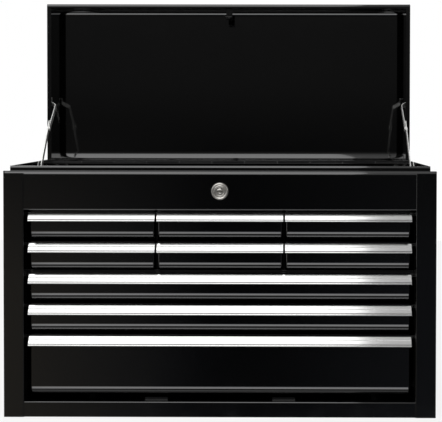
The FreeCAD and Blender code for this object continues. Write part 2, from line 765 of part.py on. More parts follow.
def stays():
    foot = (number("stay_foot_y"), number("stay_foot_z"))
    top = (number("stay_top_y"), number("stay_top_z"))
    elbow = elbow_point()
    lower = node(lower_link(), "left_stay_lower_link")
    lower.Placement = link_placement(foot, elbow)
    upper = node(upper_link(), "left_stay_upper_link")
    upper.Placement = link_placement(top, elbow)
    mirrored(lower, "right_stay_lower_link")
    mirrored(upper, "right_stay_upper_link")
    foot_stud = stud("foot_stud", "stay_foot_y", "stay_foot_z", True, "lower_link_face", "lower_link_back")
    top_stud = stud("top_stud", "stay_top_y", "stay_top_z", False, "link_tab_face", "link_tab_back")
    for left, label in ((foot_stud, "stay_foot_studs"), (top_stud, "stay_top_studs")):
        right = doc.addObject("Part::Mirroring", left.Name + "_right")
        right.Source = left
        right.Normal = Vector(1, 0, 0)
        node(group(label + "_pair", [left, right]), label)


# Side handles

def handle_brackets():
    """Two plates with drilled lugs on the side wall."""
    brackets = []
    for name, sign in (("front", "-"), ("rear", "")):
        centre = f"{sign}(lug_offset + lug_width / 2)"
        plate = block(f"{name}_lug_plate", ("-half_width - lug_plate_thickness", "-half_width"),
                      (f"{centre} - lug_plate_width / 2", f"{centre} + lug_plate_width / 2"),
                      ("handle_height - lug_plate_height / 2", "handle_height + lug_plate_height / 2"))
        low = f"{centre} - lug_width / 2"
        eye = rod(f"{name}_lug_eye", "y", "lug_radius", "lug_width", ("handle_x", low, "handle_height"))
        web = block(f"{name}_lug_web", ("handle_x", "-half_width"), (low, f"{low} + lug_width"),
                    ("handle_height - lug_radius", "handle_height + lug_radius"))
        bore = rod(f"{name}_lug_bore", "y", "handle_rod_radius + fit_clearance", "lug_width + 2 * cut_overrun",
                   ("handle_x", f"{low} - cut_overrun", "handle_height"))
        brackets.append(cut(f"{name}_lug", fuse(f"{name}_lug_solid", [plate, eye, web]), bore))
    return node(group("lug_pair", brackets), "left_handle_brackets")


def handle_bail():
    """Bent rod that hangs from the lugs: two pins, two legs and the grip."""
    pieces = []
    for name, sign, turn in (("front", "-", 180), ("rear", "", 270)):
        leg_line = f"{sign}leg_y"
        pin_start = "lug_offset" if sign == "" else leg_line
        pieces.append(rod(f"{name}_pin", "y", "handle_rod_radius", "leg_y - lug_offset",
                          ("handle_x", pin_start, "handle_height")))
        ball = doc.addObject("Part::Sphere", f"{name}_corner")
        ball.setExpression("Radius", bound("handle_rod_radius"))
        bind_base(ball, "handle_x", leg_line, "handle_height")
        pieces.append(ball)
        pieces.append(rod(f"{name}_leg", "z", "handle_rod_radius", "handle_drop - handle_bend",
                          ("handle_x", leg_line, "grip_z + handle_bend")))
        bend = doc.addObject("Part::Torus", f"{name}_bend")
        bend.Angle3 = 90
        bend.setExpression("Radius1", bound("handle_bend"))
        bend.setExpression("Radius2", bound("handle_rod_radius"))
        upright = Rotation(Vector(0, 1, 0), Vector(0, 0, 1), Vector(1, 0, 0), "XYZ")
        bend.Placement = FreeCAD.Placement(Vector(), upright * Rotation(Vector(0, 0, 1), turn))
        bind_base(bend, "handle_x", f"{sign}(leg_y - handle_bend)", "grip_z + handle_bend")
        pieces.append(bend)
    pieces.append(rod("grip", "y", "handle_rod_radius", "2 * (leg_y - handle_bend)",
                      ("handle_x", "-leg_y + handle_bend", "grip_z")))
    return node(fuse("bail", pieces), "left_handle_bail")


def check_and_write():
    """Stops if anything failed, then writes one file for each piece."""
    doc.recompute()
    for item in doc.Objects:
        if "Invalid" in item.State or "Error" in item.State:
            raise RuntimeError(f"{item.Name} failed: {item.State}")
    for item in parts:
        if item.Shape.isNull() or not item.Shape.isValid():
            raise RuntimeError(f"{item.Label} has no valid shape")
    os.makedirs("parts", exist_ok=True)
    for item in parts:
        item.Shape.exportStep(f"parts/{item.Label}.step")
    print(len(parts), "pieces written")


sizes_sheet = fill_sheet("Sizes", sizes, str)
places_sheet = fill_sheet("Places", places, lambda formula: "=" + bound(formula))
doc.recompute()

left_side = side_panel()
mirrored(left_side, "right_side_panel")
back_panel()
bottom_panel()
header_panel()
tray_floor_panel()
left_runner = runner_frame()
mirrored(left_runner, "right_runner_frame")
divider("left", "-")
divider("right", "")
divider_shelf()
all_drawers()
lock()
lid_shell()
lid_striker()
hinge()
stays()
brackets = handle_brackets()
mirrored(brackets, "right_handle_brackets")
bail = handle_bail()
mirrored(bail, "right_handle_bail")
check_and_write()
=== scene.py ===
import json
import math
import bmesh
import bpy
from mathutils import Matrix, Vector


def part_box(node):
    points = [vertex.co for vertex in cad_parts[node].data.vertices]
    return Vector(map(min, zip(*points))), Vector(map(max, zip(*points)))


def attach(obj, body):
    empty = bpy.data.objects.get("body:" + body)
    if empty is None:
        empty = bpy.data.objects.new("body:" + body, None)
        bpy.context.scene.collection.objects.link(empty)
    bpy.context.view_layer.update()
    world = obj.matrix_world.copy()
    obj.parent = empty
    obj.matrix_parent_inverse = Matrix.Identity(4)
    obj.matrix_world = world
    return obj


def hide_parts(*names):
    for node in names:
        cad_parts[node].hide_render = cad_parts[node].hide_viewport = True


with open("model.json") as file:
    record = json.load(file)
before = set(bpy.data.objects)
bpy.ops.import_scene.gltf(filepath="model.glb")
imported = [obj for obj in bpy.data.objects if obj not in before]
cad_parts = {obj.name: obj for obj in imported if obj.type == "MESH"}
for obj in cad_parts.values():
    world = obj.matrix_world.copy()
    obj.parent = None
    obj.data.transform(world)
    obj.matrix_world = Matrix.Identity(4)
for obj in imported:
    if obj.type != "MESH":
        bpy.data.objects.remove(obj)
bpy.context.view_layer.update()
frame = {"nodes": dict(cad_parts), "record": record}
print("stage: frame loaded,", len(frame["nodes"]), "nodes")

bodyOf = {}
for bodyName, members in frame["record"]["behaviour"]["bodies"].items():
    for member in members:
        bodyOf[member] = bodyName
slotOf = {part["node"]: part["material_slot"] for part in frame["record"]["subparts"]}

millimetre = 0.001  # the pieces' own lengths below are in millimetres, all else is in metres
touching = 0.03 * millimetre  # places closer than this count as the same


# Shader sockets that can be added, multiplied and so on

class Signal:
    def __init__(self, nodes, output):
        self.nodes = nodes
        self.output = output

    def combined(self, operation, first, second):
        return self.nodes.node("ShaderNodeMath", {"operation": operation}, {0: first, 1: second})

    def __add__(self, other):
        return self.combined("ADD", self, other)

    def __radd__(self, other):
        return self.combined("ADD", other, self)

    def __sub__(self, other):
        return self.combined("SUBTRACT", self, other)

    def __rsub__(self, other):
        return self.combined("SUBTRACT", other, self)

    def __mul__(self, other):
        return self.combined("MULTIPLY", self, other)

    def __rmul__(self, other):
        return self.combined("MULTIPLY", other, self)

    def __pow__(self, other):
        return self.combined("POWER", self, other)


class NodeMaker:
    def __init__(self, tree):
        self.tree = tree

    def node(self, kind, settings=None, inputs=None, output=0):
        made = self.tree.nodes.new(kind)
        for name, value in (settings or {}).items():
            if name == "stops":
                self.fillRamp(made.color_ramp, value)
            else:
                setattr(made, name, value)
        for name, value in (inputs or {}).items():
            self.feed(made.inputs[name], value)
        return Signal(self, made.outputs[output])

    def fillRamp(self, ramp, stops):
        ramp.elements[0].position, ramp.elements[1].position = stops[0][0], stops[-1][0]
        for position, _ in stops[1:-1]:
            ramp.elements.new(position)
        for element, (_, shade) in zip(ramp.elements, stops):
            element.color = (shade, shade, shade, 1)

    def feed(self, socket, value):
        if isinstance(value, Signal):
            self.tree.links.new(value.output, socket)
        else:
            socket.default_value = value

    def ramp(self, signal, *stops):
        return self.node("ShaderNodeValToRGB", {"stops": stops}, {0: signal})

    def blend(self, factor, first, second):
        return self.node("ShaderNodeMix", {"data_type": "RGBA"}, {0: factor, 6: first, 7: second}, 2)


class Finish(NodeMaker):
    def __init__(self, name):
        self.material = bpy.data.materials.new(name)
        self.material.use_nodes = True
        super().__init__(self.material.node_tree)
        self.shader = self.tree.nodes["Principled BSDF"]
        self.place = self.node("ShaderNodeTexCoord", output="Object")

    def set(self, **values):
        names = {"colour": "Base Color", "roughness": "Roughness", "metallic": "Metallic",
                 "coat": "Coat Weight", "coatRoughness": "Coat Roughness", "ior": "IOR",
                 "specular": "Specular IOR Level", "normal": "Normal"}
        for name, value in values.items():
            self.feed(self.shader.inputs[names[name]], value)
        return self.material

    def stretched(self, scale):
        return self.node("ShaderNodeMapping", None, {"Vector": self.place, "Scale": scale})

    def noise(self, scale, detail=3, vector=None, roughness=0.5):
        inputs = {"Vector": vector or self.place, "Scale": scale, "Detail": detail, "Roughness": roughness}
        return self.node("ShaderNodeTexNoise", None, inputs)

    def bump(self, height, distance):
        return self.node("ShaderNodeBump", None, {"Height": height, "Distance": distance})

    def axis(self, name):
        return self.node("ShaderNodeSeparateXYZ", None, {0: self.place}, name)


# Finishes: the larger a scale, the finer the pattern

gloss = {
    "black": (0.0007, 0.0007, 0.0009, 1), "worn": (0.0016, 0.0016, 0.0015, 1),
    "dust": (0.03, 0.029, 0.027, 1),
    "cloudScale": 7, "smudgeScale": 26, "speckScale": 900, "peelScale": 260, "peelHeight": 0.000003,
    "roughness": 0.06, "smudgeRoughness": 0.05, "dustRoughness": 0.3, "coatRoughness": 0.03, "ior": 1.65,
}


def glossPaint():
    finish = Finish("glossBlackPaint")
    clouds = finish.noise(gloss["cloudScale"], 5)
    smudges = finish.ramp(finish.noise(gloss["smudgeScale"], 6, roughness=0.62), (0.45, 0), (0.75, 1))
    specks = finish.ramp(finish.noise(gloss["speckScale"], 1), (0.74, 0), (0.8, 1))
    dust = specks * finish.ramp(clouds, (0.4, 0.1), (0.7, 0.5))
    base = finish.blend(clouds, gloss["black"], gloss["worn"])
    colour = finish.blend(dust, base, gloss["dust"])
    roughness = smudges * gloss["smudgeRoughness"] + gloss["roughness"] + dust * gloss["dustRoughness"]
    peel = finish.noise(gloss["peelScale"], 2)
    return finish.set(colour=colour, roughness=roughness, ior=gloss["ior"], coat=1.0,
                      coatRoughness=gloss["coatRoughness"], normal=finish.bump(peel, gloss["peelHeight"]))


pullShine = {
    "bright": (0.9, 0.9, 0.89, 1), "dull": (0.78, 0.78, 0.78, 1), "brushing": (9, 1400, 1400),
    "patchScale": 18, "roughness": 0.07, "streakRoughness": 0.06, "patchRoughness": 0.04,
    "streakHeight": 0.0000015,
}


def pullMetal():
    finish = Finish("brightPullMetal")
    streaks = finish.noise(1, 4, finish.stretched(pullShine["brushing"]))
    patches = finish.noise(pullShine["patchScale"], 4)
    colour = finish.blend(patches * 0.7, pullShine["bright"], pullShine["dull"])
    roughness = (streaks * pullShine["streakRoughness"] + patches * pullShine["patchRoughness"]
                 + pullShine["roughness"])
    return finish.set(colour=colour, metallic=1.0, roughness=roughness,
                      normal=finish.bump(streaks, pullShine["streakHeight"]))


lockShine = {
    "bright": (0.74, 0.72, 0.68, 1), "shade": (0.4, 0.385, 0.355, 1), "ringScale": 5200, "spotScale": 700,
    "roughness": 0.24, "ringRoughness": 0.12, "spotRoughness": 0.1, "ringHeight": 0.000005,
}


def lockChrome():
    # turning marks run in rings about the lock's axis
    finish = Finish("lockChrome")
    low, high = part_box("lock_cylinder")
    across = finish.axis("X") - (low.x + high.x) / 2
    rise = finish.axis("Z") - (low.z + high.z) / 2
    radius = (across * across + rise * rise) ** 0.5
    ringPlace = finish.node("ShaderNodeCombineXYZ", None, {0: radius * lockShine["ringScale"]})
    rings = finish.noise(1, 2, ringPlace)
    spots = finish.ramp(finish.noise(lockShine["spotScale"], 3), (0.5, 0), (0.72, 1))
    colour = finish.blend(rings * 0.5 + spots * 0.3, lockShine["bright"], lockShine["shade"])
    roughness = (rings * lockShine["ringRoughness"] + spots * lockShine["spotRoughness"]
                 + lockShine["roughness"])
    return finish.set(colour=colour, metallic=1.0, roughness=roughness,
                      normal=finish.bump(rings, lockShine["ringHeight"]))


zinc = {
    "light": (0.96, 0.96, 0.94, 1), "dark": (0.82, 0.82, 0.8, 1), "crystalScale": 260,
    "scratching": (500, 60, 60), "roughness": 0.48, "crystalRoughness": 0.14, "scratchRoughness": 0.1,
    "scratchHeight": 0.000006,
}


def zincPlate():
    finish = Finish("stayZinc")
    cells = finish.node("ShaderNodeTexVoronoi", {"feature": "F1"},
                        {"Vector": finish.place, "Scale": zinc["crystalScale"]}, "Color")
    crystals = finish.node("ShaderNodeSeparateColor", None, {0: cells}, 0)
    scratches = finish.ramp(finish.noise(1, 5, finish.stretched(zinc["scratching"])), (0.56, 0), (0.7, 1))
    colour = finish.blend(crystals * 0.5 + scratches * 0.3, zinc["light"], zinc["dark"])
    roughness = (crystals * zinc["crystalRoughness"] + scratches * zinc["scratchRoughness"]
                 + zinc["roughness"])
    return finish.set(colour=colour, metallic=1.0, roughness=roughness,
                      normal=finish.bump(scratches, zinc["scratchHeight"]))


hingeShade = {
    "paint": (0.005, 0.005, 0.0055, 1), "bare": (0.06, 0.058, 0.055, 1), "wearScale": 160,
    "grainScale": 1200, "wornMetal": 0.5, "roughness": 0.5, "grainRoughness": 0.15, "specular": 0.3,
    "grainHeight": 0.00001,
}


def hingePaint():
    finish = Finish("hingeBlack")
    wear = finish.ramp(finish.noise(hingeShade["wearScale"], 5, roughness=0.65), (0.6, 0), (0.78, 1))
    colour = finish.blend(wear, hingeShade["paint"], hingeShade["bare"])
    grain = finish.noise(hingeShade["grainScale"], 2)
    roughness = grain * hingeShade["grainRoughness"] + hingeShade["roughness"]
    return finish.set(colour=colour, metallic=wear * hingeShade["wornMetal"], roughness=roughness,
                      specular=hingeShade["specular"], normal=finish.bump(grain, hingeShade["grainHeight"]))


handleShine = {
    "bright": (0.84, 0.84, 0.85, 1), "dull": (0.55, 0.55, 0.56, 1), "hazeScale": 45, "pitScale": 1500,
    "roughness": 0.06, "hazeRoughness": 0.1, "pitRoughness": 0.2, "pitHeight": 0.00001,
}


def handleChrome():
    finish = Finish("handleChrome")
    haze = finish.noise(handleShine["hazeScale"], 5, roughness=0.6)
    pits = finish.ramp(finish.noise(handleShine["pitScale"], 2), (0.7, 0), (0.76, 1))
    colour = finish.blend(haze * 0.4 + pits * 0.5, handleShine["bright"], handleShine["dull"])
    roughness = (haze * handleShine["hazeRoughness"] + pits * handleShine["pitRoughness"]
                 + handleShine["roughness"])
    return finish.set(colour=colour, metallic=1.0, roughness=roughness,
                      normal=finish.bump(pits, handleShine["pitHeight"]))


rubber = {
    "clean": (0.018, 0.018, 0.02, 1), "dusty": (0.045, 0.045, 0.046, 1), "dustScale": 30,
    "grainScale": 1800, "roughness": 0.6, "grainRoughness": 0.15, "grainHeight": 0.00006,
}


def matRubber():
    finish = Finish("ribbedRubber")
    grain = finish.noise(rubber["grainScale"], 3)
    dust = finish.ramp(finish.noise(rubber["dustScale"], 5), (0.4, 0), (0.8, 1))
    colour = finish.blend(dust * 0.6 + grain * 0.2, rubber["clean"], rubber["dusty"])
    return finish.set(colour=colour, roughness=grain * rubber["grainRoughness"] + rubber["roughness"],
                      normal=finish.bump(grain, rubber["grainHeight"]))


finishes = {
    "case_paint": glossPaint(),
    "pull_metal": pullMetal(),
    "lock_metal": lockChrome(),
    "stay_steel": zincPlate(),
    "hinge_steel": hingePaint(),
    "handle_chrome": handleChrome(),
    "mat_rubber": matRubber(),
}
print("stage: finishes made")


# Tools for working on a piece

tools = {
    "copyMerge": 0.002, "flatAngle": 0.5,  # joins the loose facets of a CAD node
    "turnMerge": 0.01, "bevelMerge": 0.001,
    "arcReach": 0.1, "endReach": 1.3,  # how near a bend's points lie to its arc and to its two ends
    "softAngle": 32, "smoothAngle": 30, "flatWeight": 100,
}


def startOn(piece):
    bpy.ops.object.select_all(action="DESELECT")
    piece.select_set(True)
    bpy.context.view_layer.objects.active = piece


def openMesh(piece, mode, action):
    startOn(piece)
    bpy.ops.object.mode_set(mode="EDIT")
    bpy.ops.mesh.select_mode(type=mode)
    bpy.ops.mesh.select_all(action=action)
    return bmesh.from_edit_mesh(piece.data)


def camelName(node):
    words = node.split("_")
    return words[0] + "".join(word.capitalize() for word in words[1:])


def near(value, target, reach=touching):
    return abs(value - target) < reach


def along(first, second, **fixed):
    # true where both ends lie at the given coordinates
    return all(near(getattr(first, axis), place) and near(getattr(second, axis), place)
               for axis, place in fixed.items())


def copyOf(node):
    # the CAD node's shape as one clean surface, ready to be worked on
    source = frame["nodes"][node]
    piece = bpy.data.objects.new(camelName(node), source.data.copy())
    bpy.context.scene.collection.objects.link(piece)
    startOn(piece)
    bpy.ops.object.mode_set(mode="EDIT")
    bpy.ops.mesh.select_all(action="SELECT")
    bpy.ops.mesh.remove_doubles(threshold=tools["copyMerge"] * millimetre)
    bpy.ops.mesh.dissolve_limited(angle_limit=math.radians(tools["flatAngle"]))
    bpy.ops.object.mode_set(mode="OBJECT")
    bpy.ops.mesh.customdata_custom_splitnormals_clear()
    return piece


def mergeClose(piece, reach):
    startOn(piece)
    bpy.ops.object.mode_set(mode="EDIT")
    bpy.ops.mesh.select_all(action="SELECT")
    bpy.ops.mesh.remove_doubles(threshold=reach * millimetre)
    bpy.ops.object.mode_set(mode="OBJECT")


def roundEdges(piece, bend, wanted):
    # bevels the edges whose two ends pass the test, by a bend's radius and number of steps
    radius, steps = bend
    mesh = openMesh(piece, "EDGE", "DESELECT")
    anyChosen = False
    for edge in mesh.edges:
        chosen = wanted(edge.verts[0].co, edge.verts[1].co)
        edge.select_set(chosen)
        anyChosen = anyChosen or chosen
    bmesh.update_edit_mesh(piece.data)
    if anyChosen:
        bpy.ops.mesh.bevel(offset=radius * millimetre, offset_type="OFFSET", segments=steps, profile=0.5,
                           affect="EDGES", clamp_overlap=True)
    bpy.ops.object.mode_set(mode="OBJECT")


def stretchBend(piece, corner, inward, radius, scale, ends):
    # scales one face of a bend that runs left to right, about the corner that this face rounds
    bend = radius * millimetre
    arcReach = tools["arcReach"] * millimetre
    mesh = openMesh(piece, "VERT", "DESELECT")
    for vertex in mesh.verts:
        out = bend - (vertex.co.y - corner[1]) * inward[0]
        down = bend - (vertex.co.z - corner[2]) * inward[1]
        onArc = near(math.hypot(out, down), bend, arcReach) and min(out, down) > -arcReach
        atEnd = min(abs(vertex.co.x - end) for end in ends) < tools["endReach"] * millimetre
        vertex.select_set(onArc and atEnd)
    bmesh.update_edit_mesh(piece.data)
    bpy.ops.transform.resize(value=scale, center_override=corner)
    bpy.ops.object.mode_set(mode="OBJECT")


def softenEdges(piece, width, segments=2, angle=tools["softAngle"]):
    startOn(piece)
    bevel = piece.modifiers.new("edges", "BEVEL")
    bevel.width = width * millimetre
    bevel.segments = segments
    bevel.limit_method = "ANGLE"
    bevel.angle_limit = math.radians(angle)
    bpy.ops.object.modifier_apply(modifier="edges")
    mergeClose(piece, tools["bevelMerge"])
    bpy.ops.object.shade_smooth_by_angle(angle=math.radians(tools["smoothAngle"]))
    weight = piece.modifiers.new("flats", "WEIGHTED_NORMAL")
    weight.weight = tools["flatWeight"]
    weight.keep_sharp = True
    bpy.ops.object.modifier_apply(modifier="flats")


def drawOutline(name, points):
    # a chain of edges through the points, drawn vertex by vertex and left in edit mode
    bpy.ops.object.select_all(action="DESELECT")
    bpy.ops.mesh.primitive_plane_add(size=millimetre, location=points[0])
    piece = bpy.context.active_object
    piece.name = name
    bpy.ops.object.transform_apply(location=True, rotation=True, scale=True)
    bpy.ops.object.mode_set(mode="EDIT")
    bpy.ops.mesh.select_mode(type="VERT")
    bpy.ops.mesh.select_all(action="SELECT")
    bpy.ops.mesh.merge(type="CENTER")
    for start, end in zip(points, points[1:]):
        bpy.ops.mesh.extrude_region_move(TRANSFORM_OT_translate={"value": end - start})
    return piece


def pullOut(piece, step):
    # closes the outline, gives it a face and draws that out into a bar
    mesh = bmesh.from_edit_mesh(piece.data)
    for vertex in mesh.verts:
        vertex.select_set(len(vertex.link_edges) == 1)
    bmesh.update_edit_mesh(piece.data)
    bpy.ops.mesh.edge_face_add()
    bpy.ops.mesh.select_all(action="SELECT")
    bpy.ops.mesh.edge_face_add()
    bpy.ops.mesh.extrude_region_move(TRANSFORM_OT_translate={"value": step})
    bpy.ops.mesh.select_all(action="SELECT")
    bpy.ops.mesh.normals_make_consistent(inside=False)
    bpy.ops.object.mode_set(mode="OBJECT")


def turnRound(piece, centre, steps):
    # spins the outline a full turn about a front to back axis
    bpy.ops.mesh.select_all(action="SELECT")
    bpy.ops.mesh.spin(steps=steps, angle=math.tau, center=centre, axis=(0, 1, 0))
    bpy.ops.mesh.select_all(action="SELECT")
    bpy.ops.mesh.remove_doubles(threshold=tools["turnMerge"] * millimetre)
    bpy.ops.mesh.normals_make_consistent(inside=False)
    bpy.ops.object.mode_set(mode="OBJECT")


def placeCopy(node, stock, build):
    # a shape is built once for each size, and copied with its own mesh to the places that repeat it
    low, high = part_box(node)
    size = tuple(round(side / millimetre, 2) for side in high - low)
    if size not in stock:
        stock[size] = (build(camelName(node), low, high), low)
        return stock[size][0]
    first, firstLow = stock[size]
    piece = bpy.data.objects.new(camelName(node), first.data.copy())
    piece.data.transform(Matrix.Translation(low - firstLow))
    bpy.context.scene.collection.objects.link(piece)
    return piece


def settle(piece, node):
    # the piece takes the node's place, body and finish
    piece.data.materials.clear()
    piece.data.materials.append(finishes[slotOf[node]])
    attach(piece, bodyOf[node])
    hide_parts(node)


# Case: each bend is a radius and a number of steps

case = {
    "sheetEdge": 0.25, "frontDepth": 1.3, "mergeReach": 0.1,
    "cornerBend": (2.2, 5), "stileBend": (1.6, 4), "stileCorner": (3, 6), "stileTop": (0.9, 3),
    "headerFoldBend": (1.6, 4), "hemHeight": 2.4, "hemLean": 1.7, "hemBend": (0.7, 3),
    "railBend": (1.9, 4),
}


def sidePanels():
    for node, side in (("left_side_panel", -1), ("right_side_panel", 1)):
        piece = copyOf(node)
        low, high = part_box(node)
        outer = low.x if side < 0 else high.x
        inner = high.x if side < 0 else low.x
        frontBack = low.y + case["frontDepth"] * millimetre
        roundEdges(piece, case["cornerBend"], lambda a, b: along(a, b, x=outer, y=low.y))
        roundEdges(piece, case["stileBend"], lambda a, b: along(a, b, x=inner, y=low.y))
        top = max(vertex.co.z for vertex in piece.data.vertices if near(vertex.co.x, outer))
        roundEdges(piece, case["cornerBend"], lambda a, b: along(a, b, x=outer, z=top))
        stileTop = max(vertex.co.z for vertex in piece.data.vertices
                       if near(vertex.co.x, inner) and vertex.co.y < frontBack)
        roundEdges(piece, case["stileCorner"],
                   lambda a, b: along(a, b, x=inner, z=stileTop) and max(a.y, b.y) < frontBack)
        roundEdges(piece, case["stileTop"], lambda a, b: along(a, b, y=low.y, z=stileTop))
        mergeClose(piece, case["mergeReach"])
        softenEdges(piece, case["sheetEdge"])
        settle(piece, node)


def headerPanel():
    piece = copyOf("header_panel")
    low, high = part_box("header_panel")
    roundEdges(piece, case["headerFoldBend"], lambda a, b: along(a, b, y=low.y, z=low.z))
    leanHem(piece, high)
    softenEdges(piece, case["sheetEdge"])
    settle(piece, "header_panel")


def leanHem(piece, high):
    # the lip's top strip leans back from the lid
    fold = high.z - case["hemHeight"] * millimetre
    openMesh(piece, "VERT", "SELECT")
    bpy.ops.mesh.bisect(plane_co=(0, 0, fold), plane_no=(0, 0, 1))
    bpy.ops.mesh.select_all(action="DESELECT")
    mesh = bmesh.from_edit_mesh(piece.data)
    for vertex in mesh.verts:
        vertex.select_set(near(vertex.co.z, high.z))
    bmesh.update_edit_mesh(piece.data)
    bpy.ops.transform.translate(value=(0, case["hemLean"] * millimetre, 0))
    bpy.ops.object.mode_set(mode="OBJECT")
    roundEdges(piece, case["hemBend"], lambda a, b: along(a, b, z=fold) and near(a.y, b.y))


def bottomPanel():
    piece = copyOf("bottom_panel")
    low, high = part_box("bottom_panel")
    railTop = max(vertex.co.z for vertex in piece.data.vertices if near(vertex.co.y, low.y))
    roundEdges(piece, case["railBend"], lambda a, b: along(a, b, y=low.y, z=railTop))
    softenEdges(piece, case["sheetEdge"])
    settle(piece, "bottom_panel")


def plainSheets():
    for node in ("back_panel", "tray_floor", "left_runner_frame", "right_runner_frame", "left_divider",
                 "right_divider", "divider_shelf"):
        piece = copyOf(node)
        softenEdges(piece, case["sheetEdge"])
        settle(piece, node)


# Drawers: flangeDepth reaches past the flanges at the front's sides, topGap leaves out its top edge

drawerLook = {
    "sheet": 1.2, "bend": 11, "bendHeight": 15, "sideBend": (2.4, 4), "flangeDepth": 11.5, "topGap": 2,
    "edge": 0.25,
}
drawerNames = [node[:-len("_drawer")] for node in slotOf if node.endswith("_drawer")]


def drawerShells():
    for name in drawerNames:
        node = name + "_drawer"
        piece = copyOf(node)
        low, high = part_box(node)
        front = [vertex.co.x for vertex in piece.data.vertices if near(vertex.co.y, low.y)]
        left, right = min(front), max(front)
        flangeEnd = low.y + drawerLook["flangeDepth"] * millimetre
        topLimit = high.z - drawerLook["topGap"] * millimetre

        def onSideBend(a, b):
            atSide = along(a, b, x=left) or along(a, b, x=right)
            return atSide and min(a.y, b.y) < flangeEnd and min(a.z, b.z) < topLimit

        # the bend along the foot of the front is taller than it is deep
        for inset in (0, drawerLook["sheet"]):
            corner = low + Vector((0, inset, inset)) * millimetre
            stretchBend(piece, corner, (1, 1), drawerLook["bend"] - inset,
                        (1, 1, drawerLook["bendHeight"] / drawerLook["bend"]), (left, right))
        roundEdges(piece, drawerLook["sideBend"], onSideBend)
        softenEdges(piece, drawerLook["edge"])
        settle(piece, node)


# Pulls: distances out from the drawer's front and down from the pull's top

pullLook = {
    "outline": ((0, 1.1), (1.4, 1.1), (5.4, 5.2), (4.95, 6.2), (6.0, 7.0), (7.3, 9.1), (8.4, 11.2),
                (8.0, 12.1), (9.5, 12.7), (10, 13.6), (9.6, 14.6), (8.7, 14.6), (8.6, 13.5), (6.7, 12.3),
                (6.7, 10.6), (4.7, 7.6), (3.6, 6.5), (3.5, 5.3), (1.4, 3.2), (1.4, 11), (0, 11)),
    "edge": 0.16,
}


def onePull(name, low, high):
    points = [Vector((low.x, high.y - out * millimetre, high.z - down * millimetre))
              for out, down in pullLook["outline"]]
    piece = drawOutline(name, points)
    pullOut(piece, Vector((high.x - low.x, 0, 0)))
    softenEdges(piece, pullLook["edge"])
    return piece


def pulls():
    stock = {}
    for name in drawerNames:
        settle(placeCopy(name + "_pull", stock, onePull), name + "_pull")


# Mats

matLook = {
    "ribPitch": 4, "ribTop": 1.1, "ribFoot": 2.1, "ribHeight": 0.6, "border": 6.5, "corner": (5, 5),
    "edge": 0.12,
}


def oneMat(name, low, high):
    # ribs run from side to side, between a plain border at the front and another at the back
    pitch = matLook["ribPitch"] * millimetre
    top, foot = matLook["ribTop"] / 2 * millimetre, matLook["ribFoot"] / 2 * millimetre
    base = high.z - matLook["ribHeight"] * millimetre
    count = int((high.y - low.y - 2 * matLook["border"] * millimetre) / pitch)
    first = (low.y + high.y - (count - 1) * pitch) / 2
    points = [(low.y, low.z), (low.y, base)]
    for rib in range(count):
        middle = first + rib * pitch
        points += [(middle - foot, base), (middle - top, high.z),
                   (middle + top, high.z), (middle + foot, base)]
    points += [(high.y, base), (high.y, low.z)]
    piece = drawOutline(name, [Vector((low.x, y, z)) for y, z in points])
    pullOut(piece, Vector((high.x - low.x, 0, 0)))
    roundEdges(piece, matLook["corner"], lambda a, b: near(a.x, b.x) and near(a.y, b.y))
    softenEdges(piece, matLook["edge"], 1)
    return piece


def mats():
    stock = {}
    for node in [name + "_liner" for name in drawerNames] + ["tray_liner"]:
        settle(placeCopy(node, stock, oneMat), node)


# Lock: distances from its axis and back from the tip of its ring or plug

lockLook = {
    "body": ((13.25, 3.2), (13.25, 2.4), (12.9, 1.5), (12.2, 0.6), (11.5, 0.1), (10.9, 0), (10.2, 0.25),
             (9.6, 0.8), (9.2, 0.9), (8.8, 0.6), (8.35, 0.25), (7.9, 0.3), (7.6, 0.8), (7.6, 23.2),
             (9.5, 23.2), (9.5, 3.2), (13.25, 3.2)),
    "bodyEdge": 0.12,
    "plug": ((0, 0), (1.6, 0.06), (3.0, 0.25), (4.0, 0.6), (4.3, 1.1), (6.3, 1.1), (6.7, 0.8), (7.2, 0.75),
             (7.5, 1.2), (7.5, 20), (0, 20)),
    "plugEdge": 0.1,
    "slotWidth": 8, "slotDepth": 9, "slotHeight": 1.8,
    "steps": 72, "softAngle": 24, "smallEdge": 0.25,
}


def turned(node, outline, edge):
    low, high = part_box("lock_cylinder")
    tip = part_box(node)[0].y
    centre = Vector(((low.x + high.x) / 2, tip, (low.z + high.z) / 2))
    piece = drawOutline(camelName(node), [centre + Vector((0, back, radius)) * millimetre
                                          for radius, back in outline])
    turnRound(piece, centre, lockLook["steps"])
    softenEdges(piece, edge, 2, lockLook["softAngle"])
    return piece, centre


def lock():
    piece = turned("lock_cylinder", lockLook["body"], lockLook["bodyEdge"])[0]
    settle(piece, "lock_cylinder")
    piece, centre = turned("lock_plug", lockLook["plug"], lockLook["plugEdge"])
    cutKeyway(piece, centre)
    settle(piece, "lock_plug")
    for node in ("lock_cam", "lock_nut"):
        piece = copyOf(node)
        softenEdges(piece, lockLook["smallEdge"])
        settle(piece, node)


def cutKeyway(piece, centre):
    bpy.ops.object.select_all(action="DESELECT")
    bpy.ops.mesh.primitive_cube_add(size=1, location=centre)
    keyway = bpy.context.active_object
    size = (lockLook["slotWidth"], 2 * lockLook["slotDepth"], lockLook["slotHeight"])
    keyway.dimensions = Vector(size) * millimetre
    startOn(piece)
    carve = piece.modifiers.new("keyway", "BOOLEAN")
    carve.operation = "DIFFERENCE"
    carve.object = keyway
    bpy.ops.object.modifier_apply(modifier="keyway")
    bpy.data.objects.remove(keyway)


# Lid

lidLook = {
    "sheet": 1.2, "rearBend": 16, "rearBendDepth": 7, "rimBend": (1.6, 4), "sideBend": (2.2, 4),
    "rimDepth": 4, "edge": 0.3,
}


